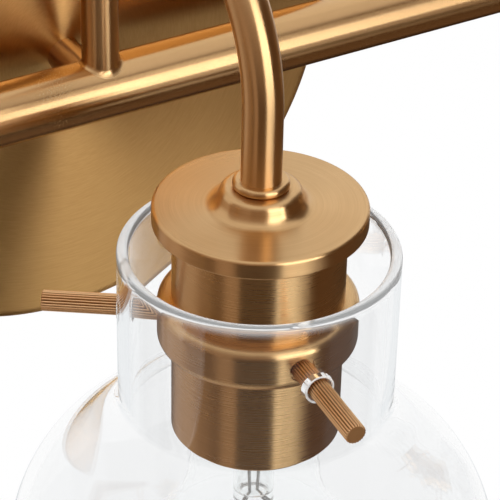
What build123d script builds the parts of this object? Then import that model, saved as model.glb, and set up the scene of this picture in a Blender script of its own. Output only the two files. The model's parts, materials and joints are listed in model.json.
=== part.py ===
from build123d import *
import math
import os

# Vanity light bar, in millimetres.
# The origin is the middle of the wall strap's back, on the wall.
# +X runs along the bar, -Y points out into the room and +Z is up. Bar and post share the height z = 0.

# Layout
lamp_count = 3
lamp_spacing = 215.0
arm_reach = 83.0
bar_standoff = 21.5
arch_spring_z = 34.5

# Wall strap and its ground screw
strap_width = 28.0
strap_thickness = 2.0
strap_ear_depth = 15.0
strap_gap = 0.5
box_screw_spacing = 88.9
box_slot_width = 4.8
box_slot_length = 14.0
ground_screw_x = 22.0
ground_screw_d = 4.0
ground_head_d = 8.0
ground_head_height = 2.4

# Canopy and its side screws
canopy_d = 169.0
canopy_depth = 22.0
canopy_wall = 1.2
canopy_edge_radius = 3.5
side_screw_d = 4.0
side_screw_length = 9.0
side_head_d = 7.5
side_head_height = 2.6
side_screw_from_wall = 8.5

# Bar, post and arms
bar_d = 17.0
bar_wall = 1.2
bar_overhang = 32.0
end_cap_height = 4.0
end_cap_round = 3.0
end_spigot_length = 9.0
post_d = 10.0
post_wall = 1.0
post_tail = 3.0
arm_d = 10.0
arm_wall = 1.0
arm_end_z = -4.2

# Lamp holder: cap with boss, ferrule, cup, nut
cap_d = 52.9
cap_top_z = 9.0
cap_height = 4.7
cap_wall = 1.3
cap_edge_radius = 0.9
boss_base_d = 22.0
boss_top_d = 19.4
boss_height = 4.9
boss_foot_radius = 2.4
boss_shoulder_radius = 1.8
ferrule_d = 14.0
ferrule_height = 2.2
cup_d = 43.0
cup_wall = 0.9
cup_bottom_z = -54.5
nut_across_flats = 14.0
nut_height = 4.0

# Shade ring, thumbscrews and grommets
ring_d = 50.2
ring_top_z = -17.0
ring_height = 12.0
ring_top_radius = 1.4
ring_bottom_radius = 3.2
screw_z = -23.0
screw_angles = [-96.0, 30.0, 145.0]
screw_d = 5.4
screw_tip_radius = 54.0
screw_thread_d = 4.0
screw_thread_length = 4.4
screw_seat_depth = 1.1
screw_chamfer = 0.3
knurl_count = 22
knurl_depth = 0.35
grommet_bore = 6.4
grommet_d = 7.6
grommet_edge_radius = 0.2

# Glass shade
neck_d = 70.0
glass_wall = 3.0
glass_rim_z = -3.7
glass_mouth_z = -140.0
shade_d = 129.0
shoulder_radius = 44.0
shoulder_z = -99.0
neck_fillet = 20.0
mouth_round = 1.3

# Socket
socket_d = 36.8
socket_recess = 6.0
socket_shoulder_z = -3.0
socket_neck_d = 17.0
socket_edge_radius = 0.8
socket_chamber_d = 24.0
socket_chamber_top_z = -7.0
socket_chamber_height = 9.0
socket_floor = 8.0
shell_wall = 0.8
contact_tail = 1.2
contact_rivet_d = 4.6
contact_head_d = 10.0
contact_head_height = 1.6

# Bulb
bulb_d = 60.0
bulb_centre_z = -106.0
bulb_neck_d = 33.0
bulb_neck_z = -66.0
bulb_wall = 1.0
bulb_spigot_d = 24.0
bulb_spigot_length = 11.0
bulb_shoulder_height = 5.0
base_d = 26.2
base_edge_radius = 0.6
base_rim_z = -51.5
base_thread_pitch = 3.6
base_thread_depth = 0.7
base_thread_turns = 5
base_button_d = 9.0
base_button_height = 1.2
mount_rise = 3.0
mount_flare_length = 6.0
mount_flare_radius = 4.0
mount_tube_d = 10.4
mount_length = 34.0
support_d = 0.8
support_spread = 9.0
support_length = 18.0
filament_d = 1.2

# Lead wires
lead_d = 1.4
lead_pitch = 1.6
lead_bend = 3.0
lead_bend_radius = 2.7
lead_rise = 2.24
lead_tail = 12.0

# Clearances
braze_gap = 0.05
fit_gap = 0.1
loose_gap = 0.3

# Worked out from the sizes above
canopy_r = canopy_d / 2
canopy_inside_r = canopy_r - canopy_wall
bar_r = bar_d / 2
arm_r = arm_d / 2
post_r = post_d / 2
bar_from_wall = canopy_depth + bar_standoff
bar_y = -bar_from_wall
lamp_y = bar_y - arm_reach
arch_radius = arm_reach / 2
lamp_xs = [lamp_spacing * (i - (lamp_count - 1) / 2) for i in range(lamp_count)]
bar_half = lamp_xs[-1] + bar_overhang
ear_x = math.sqrt((canopy_inside_r - strap_gap) ** 2 - (strap_width / 2) ** 2)
cap_roof_z = cap_top_z - cap_wall
boss_top_z = cap_top_z + boss_height
cup_r = cup_d / 2
cup_inside_r = cup_r - cup_wall
nut_top_z = cap_roof_z - cup_wall
socket_top_z = nut_top_z - nut_height - loose_gap
ring_r = ring_d / 2
neck_r = neck_d / 2
neck_inside_r = neck_r - glass_wall
screw_seat_r = ring_r - screw_seat_depth
screw_root_r = screw_seat_r + loose_gap
screw_thread_start = screw_root_r - screw_thread_length
socket_r = socket_d / 2
socket_bottom_z = cup_bottom_z + socket_recess
chamber_floor_z = socket_chamber_top_z - socket_chamber_height
shell_top_z = chamber_floor_z - socket_floor
shell_inside_r = base_d / 2 + loose_gap
shell_r = shell_inside_r + shell_wall
contact_tip_z = shell_top_z - contact_head_height
base_tip_z = contact_tip_z - loose_gap


def turned(outline):
    """A solid turned about Z from (radius, height, corner radius) points."""
    points = [(r, 0, h) for r, h, corner in outline]
    corners = [corner for r, h, corner in outline]
    edge = FilletPolyline(*points, radius=corners, close=True)
    return revolve(make_face(edge), Axis.Z)


def outward(solid):
    """Turn a solid so that its height runs from the wall into the room."""
    return Rot(90, 0, 0) * solid


def along_x(solid):
    """Turn a solid so that its height runs along +X."""
    return Rot(0, 90, 0) * solid


def rod(radius, low, high):
    """A round bar about Z between two heights."""
    return Pos(0, 0, (low + high) / 2) * Cylinder(radius, high - low)


def at_lamp(x, solid):
    return Pos(x, lamp_y, 0) * solid


def radial(angle, z, solid):
    """Lay a solid made along Z on a radius of the lamp axis."""
    return Rot(0, 0, angle) * Pos(0, 0, z) * along_x(solid)


def make_wall_strap():
    strap = Pos(0, -strap_thickness / 2, 0) * Box(2 * ear_x, strap_thickness, strap_width)
    for side in (-1, 1):
        ear = Pos(side * (ear_x - strap_thickness / 2), -strap_ear_depth / 2, 0)
        strap += ear * Box(strap_thickness, strap_ear_depth, strap_width)
        tapped = rod(side_screw_d / 2, ear_x - 2 * strap_thickness, ear_x + strap_thickness)
        strap -= Rot(0, 0, 90 - 90 * side) * Pos(0, -side * side_screw_from_wall, 0) * along_x(tapped)
        slot = SlotOverall(box_slot_length, box_slot_width)
        cutter = extrude(Plane.XZ * slot, strap_thickness * 2, both=True)
        strap -= Pos(side * box_screw_spacing / 2, 0, 0) * cutter
    ground_hole = outward(rod(ground_screw_d / 2, -strap_thickness, 2 * strap_thickness))
    return strap - Pos(ground_screw_x, 0, 0) * ground_hole


def make_ground_screw():
    shank = ground_screw_d / 2 - fit_gap
    seat = strap_thickness
    screw = turned([
        (0, loose_gap, 0),
        (shank, loose_gap, 0),
        (shank, seat, 0),
        (ground_head_d / 2, seat, 0),
        (ground_head_d / 2, seat + ground_head_height, ground_head_height / 2),
        (0, seat + ground_head_height, 0),
    ])
    return Pos(ground_screw_x, 0, 0) * outward(screw)


def make_canopy():
    inner_edge = canopy_edge_radius - canopy_wall
    hole = post_r + braze_gap
    pan = turned([
        (hole, canopy_depth, 0),
        (canopy_r, canopy_depth, canopy_edge_radius),
        (canopy_r, 0, 0),
        (canopy_inside_r, 0, 0),
        (canopy_inside_r, canopy_depth - canopy_wall, inner_edge),
        (hole, canopy_depth - canopy_wall, 0),
    ])
    pan = outward(pan)
    for side in (-1, 1):
        drill = rod(side_screw_d / 2 + fit_gap, canopy_r - 3 * canopy_wall, canopy_r + canopy_wall)
        pan -= Rot(0, 0, 90 - 90 * side) * Pos(0, -side * side_screw_from_wall, 0) * along_x(drill)
    return pan


def make_canopy_screws():
    seat = canopy_r + fit_gap
    shank = side_screw_d / 2 - fit_gap
    screw = turned([
        (0, seat - side_screw_length, 0),
        (shank, seat - side_screw_length, 0),
        (shank, seat, 0),
        (side_head_d / 2, seat, 0),
        (side_head_d / 2, seat + side_head_height, side_head_height / 2),
        (0, seat + side_head_height, 0),
    ])
    lay = Pos(0, -side_screw_from_wall, 0)
    return [lay * along_x(screw), lay * Rot(0, 0, 180) * along_x(screw)]


def bar_core(radius):
    """The bar's cylinder, used to cut whatever meets the bar."""
    return Pos(0, bar_y, 0) * along_x(rod(radius, -bar_half, bar_half))


def make_bar():
    bar = bar_core(bar_r) - bar_core(bar_r - bar_wall)
    for x in lamp_xs:
        bar -= Pos(x, bar_y, 0) * rod(arm_r - arm_wall, 0, bar_d)
    post_bore = outward(rod(post_r - post_wall, bar_from_wall - bar_d, bar_from_wall))
    return bar - post_bore


def make_end_cap(side):
    spigot = bar_r - bar_wall - fit_gap
    cap = turned([
        (0, bar_half - end_spigot_length, 0),
        (spigot, bar_half - end_spigot_length, 0),
        (spigot, bar_half, 0),
        (bar_r, bar_half, 0),
        (bar_r, bar_half + end_cap_height, end_cap_round),
        (0, bar_half + end_cap_height, 0),
    ])
    return Pos(0, bar_y, 0) * Rot(0, 0, 90 - 90 * side) * along_x(cap)


def make_post():
    tube_start = canopy_depth - canopy_wall - post_tail
    tube = rod(post_r, tube_start, bar_from_wall)
    tube -= rod(post_r - post_wall, tube_start - post_d, bar_from_wall + post_d)
    return outward(tube) - bar_core(bar_r)


def arm_path(x, side_step, low_z):
    """Centre line of the gooseneck: up from the lamp, over the half circle and down to the bar."""
    foot = Vector(x + side_step, lamp_y, arm_end_z)
    rise = Vector(x + side_step, lamp_y, arch_spring_z)
    top = Vector(x + side_step, (lamp_y + bar_y) / 2, arch_spring_z + arch_radius)
    fall = Vector(x + side_step, bar_y, arch_spring_z)
    end = Vector(x + side_step, bar_y, low_z)
    return [Line(foot, rise), ThreePointArc(rise, top, fall), Line(fall, end)]


def make_arm(x):
    path = Wire(arm_path(x, 0, 0))
    section = Plane(origin=path @ 0, z_dir=path % 0)
    outer = sweep(section * Circle(arm_r), path)
    inner = sweep(section * Circle(arm_r - arm_wall), path)
    return outer - inner - bar_core(bar_r)


def make_ferrule():
    bore = arm_r + braze_gap
    top = boss_top_z + ferrule_height
    bead = ferrule_height / 2 - fit_gap
    return turned([
        (bore, boss_top_z, 0),
        (ferrule_d / 2, boss_top_z, bead),
        (ferrule_d / 2, top, bead),
        (bore, top, 0),
    ])


def make_holder_cap():
    bore = arm_r + fit_gap
    edge_r = cap_d / 2
    rim_z = cap_top_z - cap_height
    inner_edge = max(cap_edge_radius - cap_wall, 0)
    return turned([
        (bore, cap_roof_z, 0),
        (bore, boss_top_z, 0),
        (boss_top_d / 2, boss_top_z, boss_shoulder_radius),
        (boss_base_d / 2, cap_top_z, boss_foot_radius),
        (edge_r, cap_top_z, cap_edge_radius),
        (edge_r, rim_z, cap_wall / 3),
        (edge_r - cap_wall, rim_z, 0),
        (edge_r - cap_wall, cap_roof_z, inner_edge),
    ])


def make_socket_cup():
    bore = arm_r + fit_gap
    cup = turned([
        (bore, cap_roof_z, 0),
        (cup_r, cap_roof_z, 0),
        (cup_r, cup_bottom_z, cup_wall / 3),
        (cup_inside_r, cup_bottom_z, 0),
        (cup_inside_r, nut_top_z, 0),
        (bore, nut_top_z, 0),
    ])
    hole = rod(screw_thread_d / 2 + fit_gap, cup_inside_r - cup_wall, cup_r + cup_wall)
    for angle in screw_angles:
        cup -= radial(angle, screw_z, hole)
    return cup


def make_nut():
    blank = RegularPolygon(nut_across_flats / 2, 6, major_radius=False) - Circle(arm_r + braze_gap)
    return Pos(0, 0, nut_top_z - nut_height) * extrude(blank, nut_height)


def make_shade_ring():
    bore = cup_r + braze_gap
    bottom = ring_top_z - ring_height
    ring = turned([
        (bore, ring_top_z, 0),
        (ring_r, ring_top_z, ring_top_radius),
        (ring_r, bottom, ring_bottom_radius),
        (bore, bottom, 0),
    ])
    tapped = rod(screw_thread_d / 2, cup_inside_r, ring_r + screw_d)
    seat = rod(screw_d / 2 + 2 * loose_gap, screw_seat_r, ring_r + screw_d)
    for angle in screw_angles:
        ring -= radial(angle, screw_z, tapped + seat)
    return ring


def make_thumbscrew(angle):
    grip_r = screw_d / 2
    groove = knurl_depth * math.sqrt(2)
    blank = Circle(grip_r)
    notch = Rot(0, 0, 45) * Rectangle(groove, groove)
    for k in range(knurl_count):
        blank -= Rot(0, 0, 360 / knurl_count * k) * Pos(grip_r, 0) * notch
    grip = Pos(0, 0, screw_root_r) * extrude(blank, screw_tip_radius - screw_root_r)
    envelope = turned([
        (0, screw_root_r, 0),
        (grip_r - screw_chamfer, screw_root_r, 0),
        (grip_r, screw_root_r + screw_chamfer, 0),
        (grip_r, screw_tip_radius - screw_chamfer, 0),
        (grip_r - screw_chamfer, screw_tip_radius, 0),
        (0, screw_tip_radius, 0),
    ])
    thread = rod(screw_thread_d / 2 - fit_gap, screw_thread_start, screw_root_r)
    return radial(angle, screw_z, (grip & envelope) + thread)


def make_grommet(angle):
    """A soft sleeve in the glass hole, flush with both faces of the neck."""
    bore = grommet_bore / 2
    outer = grommet_d / 2
    return radial(angle, screw_z, turned([
        (bore, neck_inside_r, 0),
        (outer, neck_inside_r, grommet_edge_radius),
        (outer, neck_r, grommet_edge_radius),
        (bore, neck_r, grommet_edge_radius),
    ]))


def shade_wall(inset):
    """One face of the glass as edges, from the neck's rim to the mouth, set in by a wall."""
    neck = neck_r - inset
    side = shade_d / 2 - inset
    bell = shoulder_radius - inset
    fillet_r = neck_fillet + inset
    centre_r = side - bell
    fillet_c = neck + fillet_r
    fillet_z = shoulder_z + math.sqrt((bell + fillet_r) ** 2 - (fillet_c - centre_r) ** 2)
    turn = math.atan2(fillet_z - shoulder_z, fillet_c - centre_r)
    neck_end = (neck, 0, fillet_z)
    half = turn / 2
    fillet_mid = (fillet_c - fillet_r * math.cos(half), 0, fillet_z - fillet_r * math.sin(half))
    join = (centre_r + bell * math.cos(turn), 0, shoulder_z + bell * math.sin(turn))
    bell_mid = (centre_r + bell * math.cos(half), 0, shoulder_z + bell * math.sin(half))
    bell_end = (side, 0, shoulder_z)
    return [
        Line((neck, 0, glass_rim_z - mouth_round), neck_end),
        ThreePointArc(neck_end, fillet_mid, join),
        ThreePointArc(join, bell_mid, bell_end),
        Line(bell_end, (side, 0, glass_mouth_z + mouth_round)),
    ]


def rim_edges(outer_r, end_z, direction):
    """Fire-polished edge between the two faces of the glass."""
    inner_r = outer_r - glass_wall
    start_z = end_z - direction * mouth_round
    middle = ((outer_r + inner_r) / 2, 0, end_z)
    return [ThreePointArc((outer_r, 0, start_z), middle, (inner_r, 0, start_z))]


def make_glass_shade():
    edges = shade_wall(0) + shade_wall(glass_wall)
    edges += rim_edges(neck_r, glass_rim_z, 1)
    edges += rim_edges(shade_d / 2, glass_mouth_z, -1)
    shade = revolve(make_face(Wire.combine(edges)[0]), Axis.Z)
    hole = rod(grommet_d / 2 + braze_gap, neck_inside_r - glass_wall, neck_r + glass_wall)
    for angle in screw_angles:
        shade -= radial(angle, screw_z, hole)
    return shade


def make_socket_body():
    bore = arm_r + braze_gap
    shell_bore = shell_r + fit_gap
    rivet_bore = contact_rivet_d / 2 + fit_gap
    return turned([
        (bore, socket_top_z, 0),
        (socket_neck_d / 2, socket_top_z, socket_edge_radius),
        (socket_neck_d / 2, socket_shoulder_z, 0),
        (socket_r, socket_shoulder_z, socket_edge_radius),
        (socket_r, socket_bottom_z, socket_edge_radius),
        (shell_bore, socket_bottom_z, 0),
        (shell_bore, shell_top_z, 0),
        (rivet_bore, shell_top_z, 0),
        (rivet_bore, chamber_floor_z, 0),
        (socket_chamber_d / 2, chamber_floor_z, 0),
        (socket_chamber_d / 2, socket_chamber_top_z, 0),
        (bore, socket_chamber_top_z, 0),
    ])


def make_socket_shell():
    low = socket_bottom_z + loose_gap
    top = shell_top_z - loose_gap
    return turned([
        (shell_inside_r, top, 0),
        (shell_r, top, 0),
        (shell_r, low, 0),
        (shell_inside_r, low, shell_wall / 2),
    ])


def make_socket_contact():
    rivet = contact_rivet_d / 2
    head = contact_head_d / 2
    seat = shell_top_z - braze_gap
    return turned([
        (0, chamber_floor_z + contact_tail, 0),
        (rivet, chamber_floor_z + contact_tail, 0),
        (rivet, seat, 0),
        (head, seat, 0),
        (head, contact_tip_z, contact_head_height / 2),
        (0, contact_tip_z, 0),
    ])


def bulb_face(inset):
    """One face of the bulb's glass as edges, from its spigot to the bottom of the ball."""
    drop = bulb_neck_z - bulb_centre_z
    full_neck = bulb_neck_d / 2
    full_ball = bulb_d / 2
    flare_c = full_neck + (drop ** 2 + full_neck ** 2 - full_ball ** 2) / (2 * (full_ball - full_neck))
    turn = math.atan2(drop, flare_c)
    half = turn / 2
    spigot = bulb_spigot_d / 2 - inset
    neck = full_neck - inset
    ball = full_ball - inset
    flare = flare_c - neck
    seat_z = base_rim_z - loose_gap
    neck_top = (neck, 0, seat_z - bulb_shoulder_height)
    neck_end = (neck, 0, bulb_neck_z)
    flare_mid = (flare_c - flare * math.cos(half), 0, bulb_neck_z - flare * math.sin(half))
    join = (ball * math.cos(turn), 0, bulb_centre_z + ball * math.sin(turn))
    low_half = half - math.pi / 4
    ball_mid = (ball * math.cos(low_half), 0, bulb_centre_z + ball * math.sin(low_half))
    return [
        Line((spigot, 0, base_rim_z + bulb_spigot_length), (spigot, 0, seat_z)),
        Line((spigot, 0, seat_z), neck_top),
        Line(neck_top, neck_end),
        ThreePointArc(neck_end, flare_mid, join),
        ThreePointArc(join, ball_mid, (0, 0, bulb_centre_z - ball)),
    ]


def make_bulb_glass():
    spigot = bulb_spigot_d / 2
    top_z = base_rim_z + bulb_spigot_length
    low_z = bulb_centre_z - bulb_d / 2
    mouth = Line((spigot, 0, top_z), (spigot - bulb_wall, 0, top_z))
    crown = Line((0, 0, low_z), (0, 0, low_z + bulb_wall))
    edges = bulb_face(0) + bulb_face(bulb_wall) + [mouth, crown]
    return revolve(make_face(Wire.combine(edges)[0]), Axis.Z)


def make_bulb_base():
    crest = base_d / 2
    root = crest - base_thread_depth
    inside = bulb_spigot_d / 2 + braze_gap
    cavity_top = base_rim_z + bulb_spigot_length + loose_gap
    quarter = base_thread_pitch / 4
    thread_top = base_rim_z + base_thread_turns * base_thread_pitch + 2 * quarter
    cone_z = base_tip_z - base_button_height
    outline = [(0, cavity_top, 0), (inside, cavity_top, 0), (inside, base_rim_z, 0), (crest, base_rim_z, 0)]
    for k in range(base_thread_turns):
        low = base_rim_z + k * base_thread_pitch + quarter
        outline.append((crest, low, 0))
        outline.append((root, low + quarter, 0))
        outline.append((root, low + 2 * quarter, 0))
        outline.append((crest, low + 3 * quarter, 0))
    outline.append((crest, thread_top, base_edge_radius))
    outline.append((base_button_d / 2, cone_z, 0))
    outline.append((base_button_d / 2, base_tip_z, base_button_height / 2))
    outline.append((0, base_tip_z, 0))
    return turned(outline)


def make_bulb_mount():
    """The glass stem, flared where it joins the neck, with its two supports and the filament between them."""
    top = base_rim_z + mount_rise
    foot_r = bulb_spigot_d / 2 - bulb_wall - braze_gap
    tube_r = mount_tube_d / 2
    low = top - mount_length
    mount = turned([
        (0, top, 0),
        (foot_r, top, 0),
        (tube_r, top - mount_flare_length, mount_flare_radius),
        (tube_r, low, tube_r / 2),
        (0, low, 0),
    ])
    root_z = low + tube_r
    tip_z = low - support_length
    for side in (-1, 1):
        lean = Vector(side * support_spread, 0, tip_z - root_z)
        section = Plane(origin=(0, 0, root_z), z_dir=lean)
        mount += extrude(section * Circle(support_d / 2), lean.length)
    coil = rod(filament_d / 2, -support_spread, support_spread)
    return mount + Pos(0, 0, tip_z) * along_x(coil)


def make_lead_wires(x):
    """Two wires from a socket through arm, bar and post into the canopy.

    In the post the outer lamps' wires lie side by side, with the middle lamp's wires above them.
    """
    side = (x > 0) - (x < 0)
    wires = []
    for step in (-1, 1):
        across = step * lead_pitch / 2
        if side:
            post_x = side * lead_pitch
            level = -side * across
            knee_z = level + lead_bend
        else:
            post_x = across
            level = lead_rise
            knee_z = level + 2 * lead_bend
        route = arm_path(x, across, knee_z)
        knee = Vector(x + across, bar_y, knee_z)
        corner = Vector(x + across, bar_y, level)
        branch = Vector(post_x, bar_y, level)
        tail = Vector(post_x, -lead_tail, level)
        turns = [knee, corner, branch, tail] if side else [knee, corner, tail]
        route.append(FilletPolyline(*turns, radius=lead_bend_radius))
        path = Wire([edge for run in route for edge in run.edges()])
        section = Plane(origin=path @ 0, z_dir=path % 0)
        wires.append(sweep(section * Circle(lead_d / 2), path))
    return wires


def save(name, solids):
    """Write one node, a single solid or a group of like solids."""
    group = solids if isinstance(solids, list) else [solids]
    shapes = [solid for piece in group for solid in piece.solids()]
    export_step(shapes[0] if len(shapes) == 1 else Compound(children=shapes), f"parts/{name}.step")


os.makedirs("parts", exist_ok=True)

save("wall_strap", make_wall_strap())
save("ground_screw", make_ground_screw())
save("canopy", make_canopy())
save("canopy_screws", make_canopy_screws())
save("post", make_post())
save("bar_tube", make_bar())
save("bar_end_cap_left", make_end_cap(-1))
save("bar_end_cap_right", make_end_cap(1))

lamp_pieces = {
    "arm_ferrule": make_ferrule(),
    "holder_cap": make_holder_cap(),
    "socket_cup": make_socket_cup(),
    "shade_ring": make_shade_ring(),
    "socket_body": make_socket_body(),
    "socket_shell": make_socket_shell(),
    "socket_contact": make_socket_contact(),
    "glass_shade": make_glass_shade(),
    "bulb_glass": make_bulb_glass(),
    "bulb_base": make_bulb_base(),
    "bulb_mount": make_bulb_mount(),
}
thumbscrews = [make_thumbscrew(angle) for angle in screw_angles]
grommets = [make_grommet(angle) for angle in screw_angles]
nut = make_nut()

for number, lamp_x in enumerate(lamp_xs, start=1):
    save(f"arm_{number}", make_arm(lamp_x))
    save(f"lead_wires_{number}", make_lead_wires(lamp_x))
    for name, piece in lamp_pieces.items():
        save(f"{name}_{number}", at_lamp(lamp_x, piece))
    for letter, screw in zip("abcdefgh", thumbscrews):
        save(f"thumbscrew_{number}{letter}", at_lamp(lamp_x, screw))

save("holder_nuts", [at_lamp(x, nut) for x in lamp_xs])
save("shade_grommets", [at_lamp(x, grommet) for x in lamp_xs for grommet in grommets])
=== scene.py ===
import json
import math

import bmesh
import bpy
from mathutils import Matrix, Vector


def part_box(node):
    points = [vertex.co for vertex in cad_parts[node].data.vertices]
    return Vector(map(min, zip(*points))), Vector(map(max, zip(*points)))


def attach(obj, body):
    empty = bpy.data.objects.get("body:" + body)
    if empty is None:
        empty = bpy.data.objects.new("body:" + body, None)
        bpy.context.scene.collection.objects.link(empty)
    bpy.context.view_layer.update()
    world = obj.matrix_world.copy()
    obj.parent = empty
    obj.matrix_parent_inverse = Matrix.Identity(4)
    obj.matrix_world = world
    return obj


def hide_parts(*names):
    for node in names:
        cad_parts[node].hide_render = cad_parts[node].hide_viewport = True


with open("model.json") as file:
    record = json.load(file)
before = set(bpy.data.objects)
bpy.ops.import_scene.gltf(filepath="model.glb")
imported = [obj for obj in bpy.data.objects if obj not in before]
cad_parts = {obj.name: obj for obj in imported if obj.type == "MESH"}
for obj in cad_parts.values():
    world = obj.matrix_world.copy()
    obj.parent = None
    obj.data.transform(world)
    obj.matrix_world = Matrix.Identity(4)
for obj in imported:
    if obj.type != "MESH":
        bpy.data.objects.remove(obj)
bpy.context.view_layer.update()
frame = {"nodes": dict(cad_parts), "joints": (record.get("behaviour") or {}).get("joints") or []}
nodes = frame["nodes"]
boxes = {name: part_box(name) for name in nodes}
joints = {j["name"]: j for j in frame["joints"]}
lampNumbers = (1, 2, 3)
screwLetters = "abc"
print("frame loaded,", len(nodes), "nodes")


# sizes and places read off the frame

def spotOf(node):
    low, high = boxes[node]
    return (low + high) / 2


def halfWidth(node):
    low, high = boxes[node]
    return (high.x - low.x) / 2


def halfHeight(node):
    low, high = boxes[node]
    return (high.z - low.z) / 2


def lampAxis(number):
    spot = spotOf(f"socket_cup_{number}")
    return Vector((spot.x, spot.y, 0.0))


def screwAngle(number, letter):
    axis = joints[f"thumbscrew_{number}{letter}_travel"]["axis"]
    return math.atan2(axis[1], axis[0])


def screwHeight(number):
    return spotOf(f"thumbscrew_{number}a").z


# small helpers for node trees

meshing = {"sharpAngle": math.radians(33), "seam": 1e-6, "double": 1e-7, "hold": 0.00012, "longRun": 0.00048}


def link(tree, value, socket):
    if isinstance(value, bpy.types.NodeSocket):
        tree.links.new(value, socket)
    else:
        socket.default_value = value


def addNode(tree, kind, inputs=None, **settings):
    node = tree.nodes.new(kind)
    for name, value in settings.items():
        setattr(node, name, value)
    for key, value in (inputs or {}).items():
        link(tree, value, node.inputs[key])
    return node


def mathNode(tree, operation, a, b=0.0):
    return addNode(tree, "ShaderNodeMath", {0: a, 1: b}, operation=operation).outputs[0]


def vectorNode(tree, operation, inputs, output=0):
    return addNode(tree, "ShaderNodeVectorMath", inputs, operation=operation).outputs[output]


def newTree(name, sockets):
    tree = bpy.data.node_groups.new(name, "GeometryNodeTree")
    tree.interface.new_socket("Geometry", in_out="INPUT", socket_type="NodeSocketGeometry")
    for label, kind in sockets:
        tree.interface.new_socket(label, in_out="INPUT", socket_type="NodeSocket" + kind)
    tree.interface.new_socket("Material", in_out="INPUT", socket_type="NodeSocketMaterial")
    tree.interface.new_socket("Geometry", in_out="OUTPUT", socket_type="NodeSocketGeometry")
    return tree, addNode(tree, "NodeGroupInput").outputs


def endTree(tree, geometry, material):
    smooth = addNode(tree, "GeometryNodeSetShadeSmooth", {"Geometry": geometry, "Shade Smooth": True})
    angle = addNode(tree, "GeometryNodeInputMeshEdgeAngle").outputs["Unsigned Angle"]
    corner = addNode(tree, "FunctionNodeCompare", {0: angle, 1: meshing["sharpAngle"]}, operation="GREATER_THAN")
    crisp = addNode(tree, "GeometryNodeSetShadeSmooth", {
        "Geometry": smooth.outputs[0], "Selection": corner.outputs[0], "Shade Smooth": False}, domain="EDGE")
    real = addNode(tree, "GeometryNodeRealizeInstances", {0: crisp.outputs[0]})
    dressed = addNode(tree, "GeometryNodeSetMaterial", {"Geometry": real.outputs[0], "Material": material})
    addNode(tree, "NodeGroupOutput", {0: dressed.outputs[0]})


def runTree(tree, source, name, values, material, matrix=None):
    base = bpy.data.objects.new(name + "_source", source)
    bpy.context.scene.collection.objects.link(base)
    modifier = base.modifiers.new("nodes", "NODES")
    modifier.node_group = tree
    for label, value in {**values, "Material": material}.items():
        modifier[tree.interface.items_tree[label].identifier] = value
    depsgraph = bpy.context.evaluated_depsgraph_get()
    mesh = bpy.data.meshes.new_from_object(base.evaluated_get(depsgraph), depsgraph=depsgraph)
    base.modifiers.remove(modifier)
    bpy.data.objects.remove(base)
    return placeMesh(mesh, name, material, matrix)


def placeMesh(mesh, name, material, matrix=None):
    work = bmesh.new()
    work.from_mesh(mesh)
    bmesh.ops.remove_doubles(work, verts=work.verts, dist=meshing["double"])
    bmesh.ops.recalc_face_normals(work, faces=work.faces)
    work.to_mesh(mesh)
    work.free()
    if matrix is not None:
        mesh.transform(matrix)
    mesh.materials.clear()
    mesh.materials.append(material)
    mesh.name = name
    piece = bpy.data.objects.new(name, mesh)
    bpy.context.scene.collection.objects.link(piece)
    return piece


def settle(piece, body, slot, *replaced):
    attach(piece, body)
    if replaced:
        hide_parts(*replaced)


# outlines of turned pieces, as (radius, height) points in metres

def rounded(corners, steps, close=True):
    points = [Vector((r, z)) for r, z, _ in corners]
    count = len(points)
    outline = []
    for k, (_, _, fillet) in enumerate(corners):
        here = points[k]
        if not close and k in (0, count - 1):
            outline.append(here)
            continue
        back = points[k - 1] - here
        ahead = points[(k + 1) % count] - here
        toBack, toAhead = back.normalized(), ahead.normalized()
        half = back.angle(ahead) / 2
        cut = fillet / math.tan(half) if fillet else 0.0
        first = here + toBack * cut
        last = here + toAhead * cut
        if back.length - cut > meshing["longRun"]:
            outline.append(first + toBack * meshing["hold"])  # keeps the flat run flat up to the corner
        if fillet:
            middle = here + (toBack + toAhead).normalized() * (fillet / math.sin(half))
            start = first - middle
            turn = start.angle_signed(last - middle)
            outline += [middle + Matrix.Rotation(-turn * k / steps, 2) @ start for k in range(steps + 1)]
        else:
            outline.append(here)
        if ahead.length - cut > meshing["longRun"]:
            outline.append(last + toAhead * meshing["hold"])
    if close:
        outline.append(outline[0].copy())
    return outline


def arc(middle, radius, start, end, steps):
    turns = [start + (end - start) * k / steps for k in range(steps + 1)]
    return [Vector((middle[0] + radius * math.cos(t), middle[1] + radius * math.sin(t))) for t in turns]


def lineMesh(points):
    mesh = bpy.data.meshes.new("line")
    mesh.from_pydata([tuple(p) for p in points], [(k, k + 1) for k in range(len(points) - 1)], [])
    return mesh


# the lathe: an outline spun about Z, with ridges along it where a piece is knurled

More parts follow.
